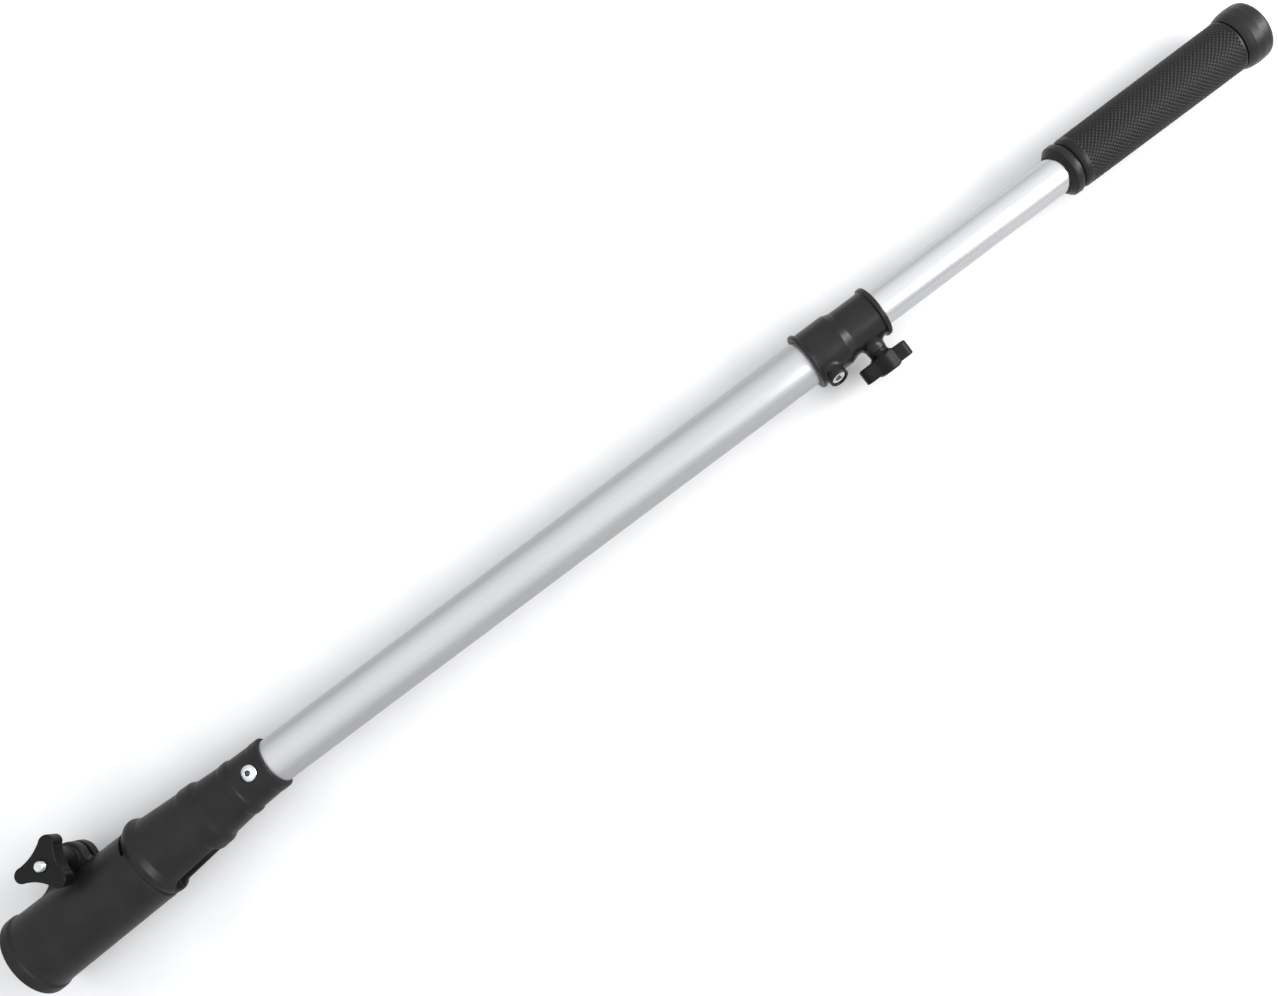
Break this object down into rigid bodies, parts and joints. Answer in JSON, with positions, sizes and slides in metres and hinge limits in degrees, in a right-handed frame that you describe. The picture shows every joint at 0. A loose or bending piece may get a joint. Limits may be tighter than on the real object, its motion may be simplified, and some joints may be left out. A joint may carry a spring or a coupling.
{
  "type": "telescopic tiller extension handle",
  "caption": "Telescopic tiller extension: a split clamp socket with a lobed knob, two sliding tubes with a tee-screw lock collar, and a textured hand grip.",
  "frame": {"origin": "centre of the socket's mouth plane, on the axis of the bore that takes the motor's tiller, 1.5 mm outside the near end of that bore's wall", "axes": "+X from the mouth along the socket's bore towards the hand grip, +Y towards the clamp lugs, +Z along the clamp bolt towards its knob"},
  "size_m": [0.8473, 0.085, 0.059],
  "materials": {
    "socket_plastic": "moulded, fine satin texture",
    "knob_plastic": "moulded, satin",
    "collar_plastic": "moulded, satin with worn shoulder",
    "grip_plastic": "moulded, satin",
    "grip_rubber": "diamond-textured soft rubber",
    "bolt_steel": "zinc plated",
    "washer_steel": "zinc plated",
    "screw_steel": "stainless, bright",
    "mandrel_steel": "dull, snapped end",
    "rivet_aluminium": "bright",
    "outer_tube_aluminium": "clear anodised satin",
    "inner_tube_aluminium": "clear anodised satin",
    "insert_brass": "turned",
    "bush_plastic": "natural acetal",
    "pad_nylon": "natural nylon",
    "plug_plastic": "moulded"
  },
  "bodies": {
    "socket": {"tiller_socket": "socket_plastic", "clamp_bolt": "bolt_steel", "socket_rivets": "rivet_aluminium", "rivet_mandrels": "mandrel_steel", "outer_tube": "outer_tube_aluminium", "guide_bush": "bush_plastic", "lock_collar": "collar_plastic", "collar_screw": "screw_steel", "lock_insert": "insert_brass"},
    "slide_ring": {"slip_ring": "bush_plastic"},
    "handle": {"inner_end_plug": "plug_plastic", "inner_tube": "inner_tube_aluminium", "grip_core": "grip_plastic", "grip_sleeve": "grip_rubber", "grip_end_cap": "grip_plastic"},
    "pad": {"lock_pad": "pad_nylon"},
    "tee": {"lock_screw": "screw_steel", "lock_knob": "knob_plastic"},
    "washer": {"clamp_washer": "washer_steel"},
    "knob": {"clamp_knob": "knob_plastic", "clamp_knob_insert": "insert_brass"}
  },
  "joints": [
    {"name": "telescope", "type": "slide", "parent": "socket", "child": "slide_ring", "axis": [0.9996, -0.0297, 0], "range_m": [-0.121, 0.234]},
    {"name": "grip_turn", "type": "hinge", "parent": "slide_ring", "child": "handle", "pos_m": [0.29395, -0.00225, 0], "axis": [0.9996, -0.0297, 0], "continuous": true},
    {"name": "lock_travel", "type": "slide", "parent": "socket", "child": "pad", "axis": [-0.029, -0.9777, -0.2079], "range_m": [0, 0.002]},
    {"name": "lock_turn", "type": "hinge", "parent": "pad", "child": "tee", "pos_m": [0.57375, -0.02327, -0.0027], "axis": [-0.029, -0.9777, -0.2079], "range_deg": [0, 720]},
    {"name": "clamp_travel", "type": "slide", "parent": "socket", "child": "washer", "axis": [0, 0, 1], "range_m": [0, 0.003]},
    {"name": "clamp_turn", "type": "hinge", "parent": "washer", "child": "knob", "pos_m": [0.0482, 0.0286, 0.02], "axis": [0, 0, 1], "range_deg": [0, 1080]}
  ],
  "couplings": [
    {"joint": "lock_travel", "follows": "lock_turn", "m_per_rad": 0.00015915},
    {"joint": "clamp_travel", "follows": "clamp_turn", "m_per_rad": 0.00015915}
  ]
}
